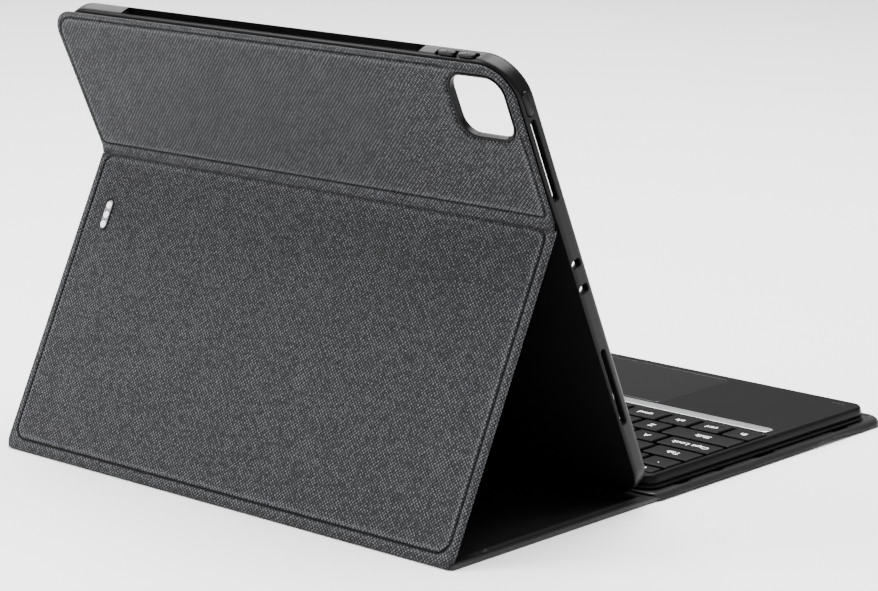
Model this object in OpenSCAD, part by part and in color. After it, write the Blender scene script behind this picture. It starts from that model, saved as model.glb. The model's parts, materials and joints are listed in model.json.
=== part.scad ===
// Keyboard case for a 12.9 inch class tablet, standing open.
// Y points away from the user, X to the user's right, Z up.
// The origin is on the table, under the middle of the opened case.

/* [Covers] */
// Width of the covers and the tray
case_w = 288; // [284:1:294]
// Thickness of the outer fabric
fabric_t = 0.6; // [0.5:0.05:0.7]
// Depth of the flat cover from the rear fold to its front edge
cover_len = 250; // [240:1:255]
// Width of the spine that wraps the closed edge
spine_w = 22; // [20:1:23]
// Thickness of the two boards inside the flat cover
cover_board_t = 1.6; // [1.4:0.1:1.7]
// Thickness of the smooth inner lining of the flat cover
cover_lining_t = 0.6; // [0.4:0.1:0.6]

/* [Stand] */
// Angle between the stand panel and the table
stand_angle = 63.8; // [63.6:0.1:64]
// Length of the stand panel from the rear fold to the top fold
stand_len = 152.7; // [152:0.1:153.2]
// Thickness of the board inside the stand panel
stand_board_t = 1.0; // [0.8:0.1:1]
// Thickness of the stand panel's lining
stand_lining_t = 0.4; // [0.3:0.1:0.4]

/* [Tray] */
// Lean of the tray, measured from the table behind it
tray_angle = 66; // [65.8:0.1:66.2]
// Height of the tray along its slope
tray_h = 225.5; // [225:0.1:226]
// Distance from the top fold up to the tray's top edge
tray_above_fold = 78.4; // [78:0.1:79]
// Thickness of the tray, fabric included
tray_t = 10.4; // [10:0.1:10.8]
// Radius of the tray's top corners
tray_r = 19.5; // [17:0.5:21]
// Radius of the tray's foot corners
tray_foot_r = 15; // [13:0.5:17]
// Width of the bay that the tablet sits in
bay_w = 281; // [280.7:0.1:281.5]
// Height of the bay along the slope
bay_h = 215.4; // [215:0.1:215.6]
// Thickness of the lip that holds the tablet in
lip_t = 0.8; // [0.6:0.1:1]

/* [Keyboard] */
// Width of the keyboard's bottom shell
kb_w = 282; // [281:1:283]
// Depth of the keyboard's bottom shell
kb_d = 175; // [175:1:177]
// Height of the deck's top above the table
deck_top = 11.1; // [11:0.1:11.4]
// Total width of the field of keys
key_field_w = 275.4; // [274:0.2:276]
// Gap between neighbouring key caps
key_gap = 2.2; // [1.6:0.1:3]
// Travel of a key
key_travel = 1.1; // [0.8:0.1:1.1]
// Width of the trackpad
pad_w = 120; // [90:1:126]
// Depth of the trackpad
pad_d = 58; // [50:1:58]

/* [Hidden] */
$fn = 64;
EPS = 0.01;

// Total depth from the fold bead to the flap's front edge
fold_bead_r = 0.5;
flap_front = 321;
total_d = flap_front + fold_bead_r;
fold_y = total_d / 2 - fold_bead_r;

// The top fold line, where the stand panel meets the tray
top_fold_y = fold_y - stand_len * cos(stand_angle);
top_fold_z = stand_len * sin(stand_angle);

// Levels in the flat cover
cover_board_z = fabric_t;
cover_lining_z = cover_board_z + cover_board_t;
cover_top = cover_lining_z + cover_lining_t;
cover_r = 10;
// Bare fabric left at each side of a fold
fold_hem = 1.2;
board_back = 5.4;
crease_w = 3;

// Levels in the stand panel, from its outer face inwards
stand_board_w = fabric_t;
stand_lining_w = stand_board_w + stand_board_t;
stand_top_gap = 1.5;

// Levels in the tray, from its outer face inwards
upper_board_t = 1.4;
shell_w = fabric_t + upper_board_t;
shell_low_w = shell_w + 0.3;
tray_mid = tray_above_fold - tray_h / 2;
tray_bottom = tray_above_fold - tray_h;
back_edge_r = 2.2;
rim_edge_r = 1.6;
top_wall = 2.8;
bay_mid = tray_above_fold - top_wall - bay_h / 2;
bay_floor = 3.1;
tray_lining_t = 0.3;
lip_w = tray_t - lip_t;
lip_reach = 2.2;
tray_lining_inset = 2;
foot_plate_t = 0.5;
upper_fabric_w = case_w - 3;
upper_fabric_top = tray_above_fold - 1.2;
upper_r = 17;

// Camera window in the upper panel
camera_x = -121.6;
camera_v = 56.4;
camera_size = [29.6, 29.6];
camera_r = 8;
surround_wall = 1.2;

// Side-wall openings: centre and length along the slope
slot_centres = [30, -87.2];
slot_len = 40;
slot_width = 3.2;
slot_w = 5.2;
notch_centres = [-22.2, -35.2];
notch_size = [4, 5.6];
notch_w = 5.4;
port_size = [15, 5.6];
port_w = 6.5;

// Stylus slot and button pads in the walls
stylus_x = [-91, 97];
stylus_w = [3.5, lip_w];
pad_recess = 1.3;
pad_gap = 0.35;
pad_proud = 0.5;
pad_play = 0.45;
volume_x = [-106.2, -117.4];
volume_pad = [9.4, 3.2];
volume_w = 5.2;
volume_recess_x = -111.8;
volume_recess = [24, 5];
power_v = 58;
power_pad_size = [11.6, 3.6];

// Keyboard levels
flap_t = 1.4;
flap_rear = 136.7;
flap_r = 10;
shell_z = cover_top + flap_t;
shell_floor = 0.8;
shell_top = 6.2;
neck_top = 6.7;
neck_inset = 1.5;
kb_wall = 2;
kb_rear = 137.2;
kb_mid = kb_rear + kb_d / 2;
deck_inset = 0.8;
deck_skin = 1.2;
kb_r = 9;

// Key field, measured forwards from the rear fold
key_rows_f = [144.6, 154.8, 170.4, 186.4, 202.4, 218.4];
key_field_end = 234.2;
key_top = 11.4;
cap_t = 1.5;
unit = key_field_w / 14.5;
// Widths of the caps in each row, in key units, from the user's left
row_units = [
    [for (i = [0:13]) 14.5 / 14],
    concat([for (i = [0:12]) 1], [1.5]),
    concat([1.5], [for (i = [0:12]) 1]),
    concat([1.75], [for (i = [0:10]) 1], [1.75]),
    concat([2.25], [for (i = [0:9]) 1], [2.25]),
    [1, 1, 1, 1.25, 5, 1.25, 1, 1, 1, 1]];
space_index = 4;
plate_z = 8.1;
plate_t = 0.4;
membrane_t = 0.2;
dome_r = 2.4;
dome_h = 0.9;

trim_f = [235.2, 243];
trim_w = 268;
trim_sink = 0.3;
trim_proud = 0.2;
pad_f = 275;
pad_t = 1;
pad_clear = 0.4;
bezel_t = 0.6;
screw_x = [-133, -45, 45, 133];
screw_f = [141, 239.2, 307];
screw_r = 0.8;
boss_r = 1.8;
port_f = 256;
port_z = 8.35;
usb_size = [8.9, 2.8];
knob_f = 276;
knob_z = 8.2;
knob_size = [3.4, 1.7];
knob_travel = 3;
light_size = [1.9, 0.8];
light_f = 304;
light_x = -130.2;
light_pitch = 2.6;

// Electronics inside the keyboard
inner_z = shell_z + shell_floor + 0.1;
board_size = [56, 36];
board_f = 268;
board_t = 1;

// Colours
FABRIC = "#4d4e50";
LINING = "#111112";
TPU = "#2c2c2e";
PLASTIC = "#38383a";
STEEL = "#b9bcc0";

// ---------------------------------------------------------------- helpers

// Sum of the first n entries of a list
function sum_to(list, n) = n <= 0 ? 0 : list[n - 1] + sum_to(list, n - 1);

// Rectangle with four round corners, centred
module rounded(size, r) {
    square([size.x - 2 * r, size.y], center = true);
    square([size.x, size.y - 2 * r], center = true);
    for (sx = [-1, 1], sy = [-1, 1])
        translate([sx * (size.x / 2 - r), sy * (size.y / 2 - r)]) circle(r);
}

// Round-cornered plate, centred, standing on z = 0
module plate(size, r, h) linear_extrude(h) rounded(size, r);

// Plate whose rear corners are square and whose front corners are round
module tongue(size, r, h) {
    plate(size, r, h);
    translate([-size.x / 2, 0, 0]) cube([size.x, size.y / 2, h]);
}

// Half section of a slab whose two long edges are rounded
module soft_half(half, h, r_low, r_high) {
    square([half - r_low, h - r_high]);
    translate([0, r_low]) square([half - r_high, h - r_low]);
    translate([0, r_low]) square([half, h - r_low - r_high]);
    translate([half - r_low, r_low]) circle(r_low);
    translate([half - r_high, h - r_high]) circle(r_high);
}

// Slab with round corners and rounded edges, centred, standing on z = 0.
// The corners towards +Y have radius r_far, those towards -Y have r_near
module soft_slab(size, r_far, r_near, h, r_low, r_high) {
    for (sx = [-1, 1], end = [[1, r_far], [-1, r_near]])
        translate([sx * (size.x / 2 - end[1]), end[0] * (size.y / 2 - end[1]), 0])
            rotate_extrude() soft_half(end[1], h, r_low, r_high);
    for (turn = [0, 180]) rotate([90, 0, turn])
        translate([0, 0, (turn == 0 ? 1 : -1) * (r_far - r_near) / 2])
            linear_extrude(size.y - r_far - r_near, center = true)
                soft_half(size.x / 2, h, r_low, r_high);
    for (end = [[90, r_far], [-90, r_near]]) rotate([90, 0, end[0]])
        linear_extrude(size.x - 2 * end[1], center = true)
            soft_half(size.y / 2, h, r_low, r_high);
}

// Stadium along the first axis, centred
module stadium(length, width) {
    square([length - width, width], center = true);
    for (s = [-1, 1]) translate([s * (length - width) / 2, 0]) circle(width / 2);
}

// Puts a shape f millimetres forwards of the rear fold and at height z
module on_base(f, z) translate([0, fold_y - f, z]) children();

// Stand panel frame: Y runs from the rear fold up to the top fold, Z points inwards
module on_stand() translate([0, fold_y, 0]) rotate([180 - stand_angle, 0, 0]) children();

// Tray frame: origin on the top fold, Y up the slope, Z from the back to the screen side
module on_tray() translate([0, top_fold_y, top_fold_z]) rotate([tray_angle, 0, 0]) children();

// ---------------------------------------------------------------- flat cover

module cover_fabric() color(FABRIC) {
    on_base((fold_hem + cover_len) / 2, 0)
        tongue([case_w, cover_len - fold_hem], cover_r, fabric_t);
    // The bare fold, with its round outer bead
    on_base(fold_hem, 0) translate([-case_w / 2, -EPS, 0])
        cube([case_w, fold_hem + EPS, fabric_t - 0.1]);
    on_base(0, fold_bead_r) rotate([0, 90, 0]) cylinder(r = fold_bead_r, h = case_w, center = true);
}

// Spine board and front board, with a crease between them
module cover_boards() color("#8a7a5c") {
    board_w = case_w - 3;
    spine_d = spine_w - board_back;
    front_d = cover_len - 1.5 - spine_w - crease_w;
    on_base(board_back + spine_d / 2, cover_board_z) translate([0, 0, cover_board_t / 2])
        cube([board_w, spine_d, cover_board_t], center = true);
    difference() {
        on_base(spine_w + crease_w + front_d / 2, cover_board_z)
            tongue([board_w, front_d], cover_r - 1.5, cover_board_t);
        magnet_spots(cover_board_z - EPS) magnet(0.1, cover_board_t + 2 * EPS);
    }
}

module cover_lining() color(LINING) {
    inset = 0.5;
    depth = cover_len - board_back + 2 - inset;
    on_base(board_back - 2 + depth / 2, cover_lining_z)
        tongue([case_w - 2 * inset, depth], cover_r - inset, cover_lining_t);
}

// Bar magnets that hold the tray's foot and the keyboard
module magnet(grow, h) linear_extrude(h) square([20 + 2 * grow, 6 + 2 * grow], center = true);

module magnet_spots(z)
    for (f = [130.5, 150, 240], x = [-120:40:120]) on_base(f, z) translate([x, 0, 0]) children();

module cover_magnets() color(STEEL) magnet_spots(cover_board_z + 0.1) magnet(0, cover_board_t - 0.2);

// Low rubber rail with a shallow trough for the tray's foot
module foot_rail() color(TPU) {
    rail_f = 130.5;
    rail_size = [230, 7];
    rail_h = 1.6;
    foot_gap = 0.15;
    difference() {
        on_base(rail_f, cover_top) plate(rail_size, 1, rail_h);
        on_tray() translate([0, tray_bottom + back_edge_r, shell_w + back_edge_r])
            rotate([0, 90, 0])
                cylinder(r = back_edge_r + foot_gap, h = case_w + 2, center = true);
    }
}

// ---------------------------------------------------------------- stand panel

// Flat strip of the stand panel between two distances from the rear fold
module stand_layer(s0, s1, width, w0, t)
    on_stand() translate([-width / 2, s0, w0]) cube([width, s1 - s0, t]);

// Place of the contact plate on the stand panel
module at_contact(w) on_stand() translate([127.3, stand_len - 31.6, w]) rotate([0, 0, 90]) children();

module stand_fabric() color(FABRIC) difference() {
    stand_layer(fold_hem, stand_len - 0.5, case_w, 0, fabric_t);
    at_contact(-1) linear_extrude(fabric_t + 2) stadium(16.8, 6.8);
}

module stand_board() color("#8a7a5c") difference() {
    stand_layer(board_back, stand_len - stand_top_gap, case_w - 2.4, stand_board_w, stand_board_t);
    at_contact(stand_board_w - EPS) linear_extrude(0.6 + EPS) stadium(16.8, 6.8);
    stand_magnet_spots(stand_board_w - EPS) magnet(0.1, stand_board_t + 2 * EPS);
}

module stand_lining() color(LINING)
    stand_layer(board_back - 1, stand_len - stand_top_gap, case_w - 1, stand_lining_w, stand_lining_t);

module stand_magnet_spots(w)
    on_stand() for (s = [20, stand_len - 20], x = [-100:50:100]) translate([x, s, w]) children();

module stand_magnets() color(STEEL)
    stand_magnet_spots(stand_board_w + 0.1) magnet(0, stand_board_t - 0.2);

module contact_gasket() color("#0c0c0c") at_contact(0.05) linear_extrude(0.9)
    difference() {
        stadium(16.6, 6.6);
        stadium(15.2, 5.2);
    }

// Bright pill with three round raised cells
module contact_plate() color("#e4e5e7") {
    at_contact(0.25) linear_extrude(0.7) stadium(15.1, 5.1);
    at_contact(0.08) for (i = [-1:1]) translate([i * 4.9, 0, 0]) cylinder(r = 2, h = 0.5);
}

// ---------------------------------------------------------------- tray

// Moves a flat outline to a side wall: its first axis runs up the slope,
// its second axis runs through the tray's thickness
module on_side(sx, v, w, reach) on_tray() translate([sx * case_w / 2, v, w])
    rotate([90, 0, 90]) linear_extrude(2 * reach, center = true) children();

// The same for the top wall, with the first axis along X
module on_top(x, w, reach) on_tray() translate([x, tray_above_fold, w])
    rotate([90, 0, 0]) linear_extrude(2 * reach, center = true) children();

module tray_shell() color(TPU) difference() {
    on_tray() translate([0, tray_mid, shell_w])
        soft_slab([case_w, tray_h], tray_r, tray_foot_r, tray_t - shell_w, back_edge_r,
            rim_edge_r);
    // Step in the back that lets the stand panel fold flat
    on_tray() translate([-case_w / 2 - 1, 0.6 - tray_h, shell_w - 1])
        cube([case_w + 2, tray_h, 1 + shell_low_w - shell_w]);
    // Bay and its mouth
    on_tray() translate([0, bay_mid, bay_floor])
        plate([bay_w, bay_h], tray_r - 3, lip_w - bay_floor);
    on_tray() translate([0, bay_mid, lip_w - 1])
        plate([bay_w - 2 * lip_reach, bay_h - 2 * lip_reach], tray_r - 5, lip_t + 2);
    // Bed for the steel plate in the foot
    foot_plate_solid(0.1, foot_plate_t + 0.1, 1);
    // Window for the cameras
    on_tray() translate([camera_x, camera_v, 0]) plate(camera_size, camera_r, bay_floor + 1);
    // Speaker slots and microphone notches
    for (sx = [-1, 1]) {
        for (v = slot_centres) on_side(sx, v, slot_w, 6) stadium(slot_len, slot_width);
        for (v = slot_centres) on_side(sx, v, slot_w, 0.7) stadium(slot_len + 1.6, slot_width + 1.4);
    }
    for (v = notch_centres)
        on_side(-1, v, notch_w, 6) rotate(90) stadium(notch_size.y, notch_size.x);
    // Charging port on the far side
    on_side(1, bay_mid, port_w, 6) stadium(port_size.x, port_size.y);
    // Stylus slot
    on_tray() translate([stylus_x[0], tray_above_fold - 6, stylus_w[0]])
        cube([stylus_x[1] - stylus_x[0], 12, stylus_w[1] - stylus_w[0]]);
    // Recesses for the button pads
    on_top(volume_recess_x, volume_w, pad_recess) stadium(volume_recess.x, volume_recess.y);
    on_side(-1, power_v, volume_w, pad_recess)
        stadium(power_pad_size.x + 2 * pad_gap, power_pad_size.y + 2 * pad_gap);
}

module tray_lining() color("#1b1b1c") difference() {
    on_tray() translate([0, bay_mid, bay_floor])
        plate([bay_w - 2 * tray_lining_inset, bay_h - 2 * tray_lining_inset],
            tray_r - 5, tray_lining_t);
    on_tray() translate([camera_x, camera_v, 0])
        plate([for (a = camera_size) a + 2], camera_r + 1, bay_floor + 2);
}

// Steel strip sunk in the bay's floor near the foot, grown at its sides
module foot_plate_solid(grow, sink, h) on_tray()
    translate([0, bay_mid - bay_h / 2 + 8.2, bay_floor - sink])
        linear_extrude(h) square([240 + 2 * grow, 8 + 2 * grow], center = true);

module foot_plate() color(STEEL) foot_plate_solid(0, foot_plate_t, foot_plate_t);

// Upper panel: square lower corners at the fold, round top corners
module upper_layer(width, v0, v1, r, w0, t) on_tray() difference() {
    translate([0, (v0 + v1) / 2, w0]) rotate([0, 0, 180]) tongue([width, v1 - v0], r, t);
    translate([camera_x, camera_v, w0 - 1])
        plate([for (a = camera_size) a + 2 * surround_wall + 0.1],
            camera_r + surround_wall, t + 2);
}

module upper_board() color("#8a7a5c")
    upper_layer(upper_fabric_w - 1.6, 1, upper_fabric_top - 0.8, upper_r - 0.8,
        fabric_t, upper_board_t);

module upper_fabric() color(FABRIC)
    upper_layer(upper_fabric_w, 0.5, upper_fabric_top, upper_r, 0, fabric_t);

module camera_surround() color("#151516") on_tray() translate([camera_x, camera_v, 0.3])
    difference() {
        plate([for (a = camera_size) a + 2 * surround_wall], camera_r + surround_wall,
            shell_w - 0.3);
        translate([0, 0, -1]) plate(camera_size, camera_r, shell_w + 2);
    }

// Pad that stands in a wall recess; it can be pushed in by the gap under it
module volume_pad_at(x) color("#343436") on_tray()
    translate([x, tray_above_fold + pad_proud, volume_w]) rotate([90, 0, 0])
        linear_extrude(pad_recess + pad_proud - pad_play) stadium(volume_pad.x, volume_pad.y);

module volume_up_pad() volume_pad_at(volume_x[0]);
module volume_down_pad() volume_pad_at(volume_x[1]);

module power_pad() color("#343436") on_tray()
    translate([-case_w / 2 - pad_proud, power_v, volume_w]) rotate([90, 0, 90])
        linear_extrude(pad_recess + pad_proud - pad_play)
            stadium(power_pad_size.x, power_pad_size.y);

// ---------------------------------------------------------------- keyboard body

module keyboard_flap() color("#1d1d1e") {
    depth = flap_front - flap_rear;
    on_base(flap_rear + depth / 2, cover_top) plate([case_w, depth], flap_r, flap_t);
}

// Bottom shell: a tub with a narrower neck that leaves a groove under the deck
module keyboard_shell() color(PLASTIC) difference() {
    union() {
        on_base(kb_mid, shell_z) plate([kb_w, kb_d], kb_r, shell_top - shell_z);
        on_base(kb_mid, shell_z)
            plate([kb_w - 2 * neck_inset, kb_d - 2 * neck_inset], kb_r - neck_inset,
                neck_top - shell_z);
    }
    on_base(kb_mid, shell_z + shell_floor)
        plate([kb_w - 2 * kb_wall - 2, kb_d - 2 * kb_wall - 2], kb_r - kb_wall - 1, 10);
    at_screws(shell_z - EPS) {
        cylinder(r = screw_r + 0.1, h = 3);
        cylinder(r = 1.6, h = 0.5);
    }
}

// Moves an outline to the keyboard's far side wall: its first axis runs rearwards
module on_kb_side(f, z, x, h) on_base(f, z) translate([kb_w / 2 + x, 0, 0])
    rotate([90, 0, 90]) linear_extrude(h) children();

module at_screws(z) for (f = screw_f, x = screw_x) on_base(f, z) translate([x, 0, 0]) children();

// Top deck: bevelled skirt, key well, trackpad hole and screw bosses
module keyboard_deck() color(PLASTIC) {
    size = [kb_w - 2 * deck_inset, kb_d - 2 * deck_inset];
    difference() {
        union() {
            on_base(kb_mid, neck_top) plate(size, kb_r - deck_inset, deck_top - neck_top - 0.6);
            on_base(kb_mid, neck_top)
                plate([size.x - 1, size.y - 1], kb_r - deck_inset - 0.5, deck_top - neck_top);
        }
        on_base(kb_mid, neck_top - EPS)
            plate([size.x - 2 * kb_wall, size.y - 2 * kb_wall], kb_r - kb_wall - deck_inset,
                deck_top - neck_top - deck_skin + EPS);
        key_well(neck_top);
        on_base(pad_f, neck_top) plate([pad_w + 1.2, pad_d + 1.2], 3.6, 10);
        on_base((trim_f[0] + trim_f[1]) / 2, deck_top - trim_sink)
            plate([trim_w, trim_f[1] - trim_f[0]], 1, 5);
        light_spots(neck_top) linear_extrude(10) stadium(light_size.x + 0.1, light_size.y + 0.1);
        // The port's notch is open below; the bottom shell's neck closes it
        on_kb_side(port_f, port_z, -4, 8) {
            stadium(usb_size.x + 0.2, usb_size.y + 0.2);
            translate([-usb_size.x / 2 - 0.1, -2.5]) square([usb_size.x + 0.2, 2.5]);
        }
        on_kb_side(knob_f, knob_z, -4, 8)
            stadium(knob_size.x + knob_travel + 0.8, knob_size.y + 0.5);
    }
    difference() {
        at_screws(neck_top) cylinder(r = boss_r, h = deck_top - deck_skin - neck_top);
        at_screws(neck_top - 1) cylinder(r = screw_r + 0.02, h = 3);
    }
}

// The space that all key caps stand in
module key_well(z) {
    f0 = key_rows_f[0] - 0.6;
    f1 = key_field_end - key_gap + 0.6;
    on_base((f0 + f1) / 2, z) plate([key_field_w - key_gap + 1.4, f1 - f0], 1.2, 10);
}

module trim_strip() color("#c9cbce") {
    depth = trim_f[1] - trim_f[0] - 0.2;
    on_base((trim_f[0] + trim_f[1]) / 2, deck_top - trim_sink)
        plate([trim_w - 0.2, depth], 0.9, trim_sink + trim_proud);
}

module trackpad_bezel() color("#6a6b6e") on_base(pad_f, deck_top - bezel_t) difference() {
    plate([pad_w + 1.2, pad_d + 1.2], 3.6, bezel_t + 0.05);
    translate([0, 0, -1]) plate([pad_w + 0.4, pad_d + 0.4], 3.2, 5);
}

module key_plate() color(STEEL) {
    f0 = key_rows_f[0] - 1.2;
    f1 = key_field_end + 0.4;
    on_base((f0 + f1) / 2, plate_z) plate([key_field_w, f1 - f0], 1, plate_t);
}

module membrane() color("#a9b8a0") {
    f0 = key_rows_f[0] - 1;
    f1 = key_field_end;
    on_base((f0 + f1) / 2, plate_z + plate_t) plate([key_field_w - 2, f1 - f0], 1, membrane_t);
}

// Depth of one row of caps
function row_end(row) = row < 5 ? key_rows_f[row + 1] : key_field_end;

// Middle of a cap in a row, from the field's left edge, in millimetres
function key_mid(row, i) = (sum_to(row_units[row], i) + row_units[row][i] / 2) * unit;

module at_key(row, i, z)
    on_base((key_rows_f[row] + row_end(row) - key_gap) / 2, z)
        translate([key_mid(row, i) - key_field_w / 2, 0, 0]) children();

module dome_sheet() color("#d9d9d6")
    for (row = [0:5], i = [0:len(row_units[row]) - 1])
        at_key(row, i, plate_z + plate_t + membrane_t) cylinder(r = dome_r, h = dome_h);

module key_cap(row, i) at_key(row, i, key_top - cap_t) difference() {
    plate([row_units[row][i] * unit - key_gap, row_end(row) - key_rows_f[row] - key_gap],
        1.4, cap_t);
    translate([0, 0, -EPS]) cylinder(r = dome_r + 0.5, h = 0.95);
}

module key_row(row) color("#3c3c3d")
    for (i = [0:len(row_units[row]) - 1]) if (row < 5 || i != space_index) key_cap(row, i);

module key_row_1() key_row(0);
module key_row_2() key_row(1);
module key_row_3() key_row(2);
module key_row_4() key_row(3);
module key_row_5() key_row(4);
module key_row_6() key_row(5);
module space_bar() color("#3c3c3d") key_cap(5, space_index);

// ---------------------------------------------------------------- keyboard internals

module main_board() color("#1f5a34") {
    on_base(board_f, inner_z) plate(board_size, 1, board_t);
    on_base(board_f, inner_z + board_t - EPS)
        for (x = [-18, 0, 16]) translate([x, 4, 0]) cube([7, 7, 0.9], center = false);
}

module battery() color("#9fa3a8")
    for (s = [-1, 1]) on_base(270, inner_z) translate([s * 80, 0, 0]) plate([84, 48], 1.5, 2.4);

// Flat cable from the membrane down to the board
module ribbon_cable() color("#b98a3a") {
    cable_t = 0.15;
    cable_w = 16;
    top_z = plate_z + plate_t;
    low_z = inner_z + board_t;
    bend_f = 236.6;
    on_base(bend_f, top_z) translate([-cable_w / 2, 0, 0])
        cube([cable_w, bend_f - key_field_end, cable_t]);
    on_base(bend_f, low_z) translate([-cable_w / 2, -EPS, 0])
        cube([cable_w, cable_t, top_z + cable_t - low_z]);
    on_base(board_f - 13, low_z) translate([-cable_w / 2, 0, 0])
        cube([cable_w, board_f - 13 - bend_f + cable_t, cable_t]);
}

// Steel shell of the charging socket, open towards the side
module usb_port() color(STEEL) difference() {
    on_kb_side(port_f, port_z, -8.9, 8) stadium(usb_size.x, usb_size.y);
    on_kb_side(port_f, port_z, -8.3, 8) stadium(usb_size.x - 0.6, usb_size.y - 0.6);
}

// Three light pipes in the palm rest
module light_spots(z)
    for (i = [0:2]) on_base(light_f, z) translate([light_x + light_pitch * i, 0, 0]) children();

module status_lights() color("#d8d8d8")
    light_spots(deck_top - deck_skin) linear_extrude(deck_skin - 0.02)
        stadium(light_size.x, light_size.y);

module keyboard_magnets() color(STEEL)
    for (x = [-112, -78, 78, 112], f = [150, 240]) on_base(f, inner_z) translate([x, 0, 0])
        cylinder(r = 4, h = 1.5);

module case_screws() color(STEEL) at_screws(shell_z + 0.05) {
    cylinder(r = 1.5, h = 0.4);
    cylinder(r = screw_r, h = 4.2);
}

module trackpad_switch() color("#2a2a2a") on_base(pad_f + 8, inner_z + board_t) {
    translate([-2.5, -2.5, 0]) cube([5, 5, 2.3]);
    translate([0, 0, 2.3 - EPS]) cylinder(r = 1.2, h = 0.4);
}

module trackpad() color("#2d2d2f")
    on_base(pad_f, deck_top - pad_t) plate([pad_w, pad_d], 3, pad_t);

module trackpad_board() color("#1f5a34")
    on_base(pad_f, deck_top - pad_t - 0.8) plate([pad_w - 4, pad_d - 4], 2, 0.8);

// Sliding switch knob on the far side
module power_knob() color("#77797c")
    on_kb_side(knob_f + knob_travel / 2, knob_z, -2.9, 3.2) stadium(knob_size.x, knob_size.y);

cover_fabric();
cover_boards();
cover_lining();
cover_magnets();
foot_rail();
stand_fabric();
stand_board();
stand_lining();
stand_magnets();
contact_gasket();
contact_plate();
tray_shell();
tray_lining();
foot_plate();
upper_board();
upper_fabric();
camera_surround();
volume_up_pad();
volume_down_pad();
power_pad();
keyboard_flap();
keyboard_shell();
keyboard_deck();
trim_strip();
trackpad_bezel();
key_plate();
membrane();
dome_sheet();
ribbon_cable();
main_board();
battery();
usb_port();
status_lights();
keyboard_magnets();
case_screws();
trackpad_switch();
trackpad();
trackpad_board();
power_knob();
key_row_1();
key_row_2();
key_row_3();
key_row_4();
key_row_5();
key_row_6();
space_bar();
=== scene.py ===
"""Visual model of a fold-back keyboard case for a large tablet, standing open.

Sizes are in millimetres until a piece is placed. x runs to the user's right. The base
frame counts f forwards from the rear fold, the stand frame counts s up the stand panel,
and the tray frame counts v up the tray from the top fold. w is the depth under an outer face.
A frame is a function that takes (a, b, c) along its three directions to points in metres.
"""

import json
import math

import bpy
import numpy as np
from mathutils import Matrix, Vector
from mathutils.geometry import delaunay_2d_cdt


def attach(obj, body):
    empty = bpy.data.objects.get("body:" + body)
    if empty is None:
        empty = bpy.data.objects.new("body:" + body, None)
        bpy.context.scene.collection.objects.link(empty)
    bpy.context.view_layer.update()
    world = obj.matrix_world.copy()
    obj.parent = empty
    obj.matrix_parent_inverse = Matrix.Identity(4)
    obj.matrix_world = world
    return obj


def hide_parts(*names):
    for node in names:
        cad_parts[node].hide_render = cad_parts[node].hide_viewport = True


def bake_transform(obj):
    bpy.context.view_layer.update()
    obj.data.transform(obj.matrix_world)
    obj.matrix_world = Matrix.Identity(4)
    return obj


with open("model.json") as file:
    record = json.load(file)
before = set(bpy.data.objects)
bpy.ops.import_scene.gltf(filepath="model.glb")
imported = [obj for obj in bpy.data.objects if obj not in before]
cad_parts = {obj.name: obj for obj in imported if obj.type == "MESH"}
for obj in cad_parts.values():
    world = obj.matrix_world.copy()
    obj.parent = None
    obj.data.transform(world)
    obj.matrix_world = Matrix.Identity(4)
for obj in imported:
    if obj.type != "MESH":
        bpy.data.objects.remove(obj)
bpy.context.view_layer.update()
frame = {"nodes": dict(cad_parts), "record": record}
scene = bpy.context.scene
MM = 0.001

# ---------------------------------------------------------------- sizes

CASE_W = 288.0
FOLD_Y = 160.25            # y of the rear fold
STAND_ANGLE = math.radians(63.8)
STAND_LEN = 152.7
TRAY_ANGLE = math.radians(66.0)
TOP_FOLD = (FOLD_Y - STAND_LEN * math.cos(STAND_ANGLE), STAND_LEN * math.sin(STAND_ANGLE))
COVER_LEN = 250.0
COVER_TOP = 2.8
TRAY_TOP = 78.4            # v of the tray's top edge
TRAY_H = 225.5
TRAY_T = 10.4
TRAY_R, FOOT_R = 19.5, 15.0
BAY = (281.0, 215.4)       # the tablet's bay in the tray, its middle and its floor
BAY_MID = -32.1
BAY_FLOOR = 3.1
LIP_W = 9.6                # where the lip over the tablet's edge starts
UPPER_TOP = 77.2
UPPER_HALF = 142.5
WINDOW = (-121.6, 56.4)    # middle of the camera window
WINDOW_SIZE, WINDOW_R = 29.6, 8.0
FLAP_REAR, FLAP_FRONT = 136.7, 321.0
KB_REAR, KB_W, KB_D, KB_R = 137.2, 282.0, 175.0, 9.0
DECK_TOP, DECK_LOW, TIER_TOP, TIER_LOW = 11.1, 6.7, 6.2, 4.2
DECK_INSET = 0.8
KEY_ROWS = (144.6, 154.8, 170.4, 186.4, 202.4, 218.4, 234.2)    # f where each row starts
KEY_FIELD = 275.4
KEY_GAP = 2.2
KEY_TOP = 11.4
WELL_FLOOR = 8.75
PAD_F, PAD_W, PAD_D = 275.0, 120.0, 58.0
SQUARE = 0.02              # corner radius that looks square

# ---------------------------------------------------------------- frames


def base_at(x0, f0, z0=0.0):
    """(a, b, c) -> point a to the right, b to the rear and c above (x0, f0, z0), in metres."""
    return lambda a, b, c: np.stack([x0 + a, FOLD_Y - f0 + b, z0 + c + 0 * a], -1) * MM


def stand_at(x0=0.0, s0=0.0, w0=0.0):
    """(a, b, c) -> right, up the stand panel, into the wedge."""
    ca, sa = math.cos(STAND_ANGLE), math.sin(STAND_ANGLE)
    return lambda a, b, c: np.stack([
        x0 + a, FOLD_Y - (s0 + b) * ca - (w0 + c) * sa, (s0 + b) * sa - (w0 + c) * ca], -1) * MM


def tray_at(x0=0.0, v0=0.0, w0=0.0):
    """(a, b, c) -> right, up the tray, from its back to the screen side."""
    ca, sa = math.cos(TRAY_ANGLE), math.sin(TRAY_ANGLE)
    return lambda a, b, c: np.stack([
        x0 + a, TOP_FOLD[0] + (v0 + b) * ca - (w0 + c) * sa,
        TOP_FOLD[1] + (v0 + b) * sa + (w0 + c) * ca], -1) * MM


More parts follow.
